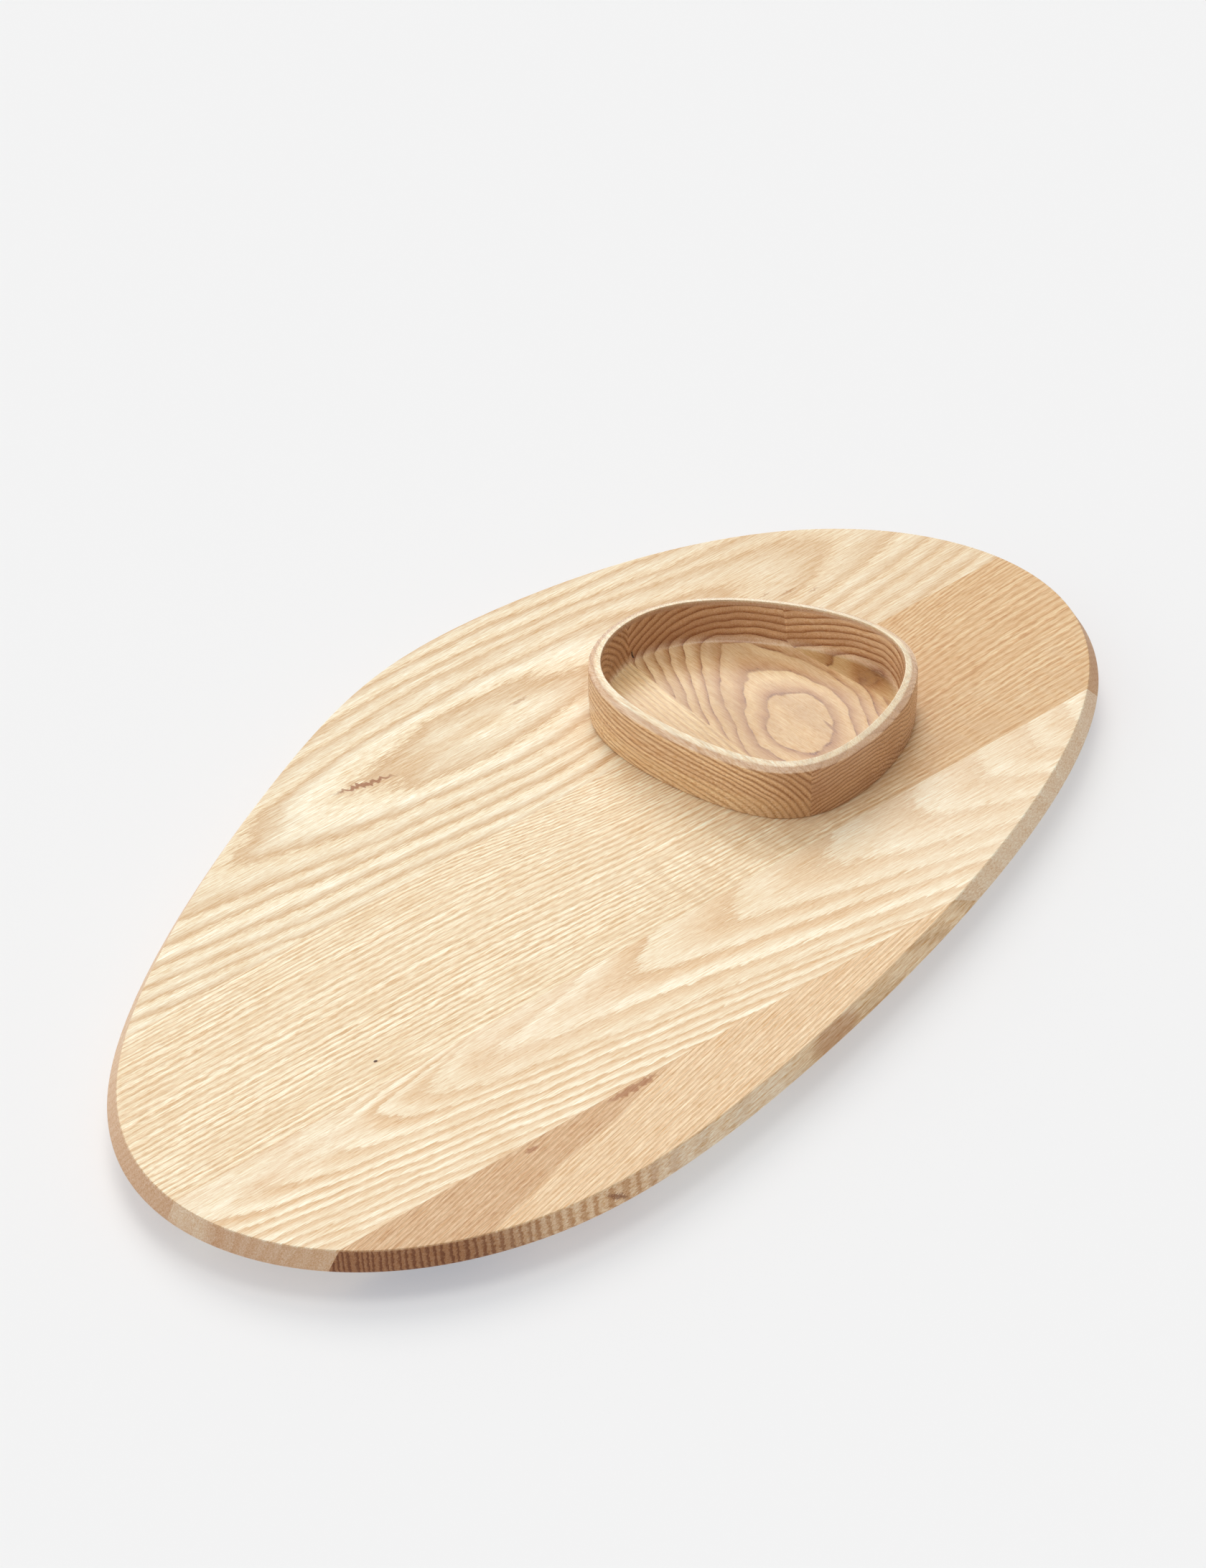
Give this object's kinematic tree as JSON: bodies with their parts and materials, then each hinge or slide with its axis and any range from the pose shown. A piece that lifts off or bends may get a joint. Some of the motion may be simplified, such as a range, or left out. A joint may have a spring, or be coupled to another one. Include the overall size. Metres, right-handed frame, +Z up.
{
  "type": "chip and dip server",
  "caption": "Pebble-shaped wooden serving board on rubber feet, with a loose pebble-shaped wooden dip bowl that lifts off.",
  "frame": {"origin": "on the surface that the feet stand on, below the middle of the board's overall length and width", "axes": "+Z up, +X along the board's length towards the bowl, +Y across the board towards its widest stave"},
  "size_m": [0.61, 0.328, 0.0551],
  "materials": {
    "back_ash": "oiled pale ash, flat-sawn",
    "dark_ash": "oiled ash, quarter-sawn, fine straight grain",
    "middle_ash": "oiled ash, flat-sawn with arched grain",
    "front_ash": "oiled ash, straight grain",
    "bowl_ash": "oiled ash, satin",
    "foot_rubber": "matt",
    "screw_steel": "zinc plated"
  },
  "bodies": {
    "board": {"back_stave": "back_ash", "bowl_side_stave": "dark_ash", "middle_stave": "middle_ash", "front_stave": "front_ash", "foot_front_left": "foot_rubber", "foot_front_right": "foot_rubber", "foot_back_left": "foot_rubber", "foot_back_right": "foot_rubber", "foot_screws": "screw_steel"},
    "bowl": {"bowl_left_stave": "bowl_ash", "bowl_middle_stave": "bowl_ash", "bowl_right_stave": "bowl_ash"}
  },
  "joints": [
    {"name": "bowl_lift", "type": "slide", "parent": "board", "child": "bowl", "axis": [0, 0, 1], "range_m": [0, 0.08]}
  ]
}
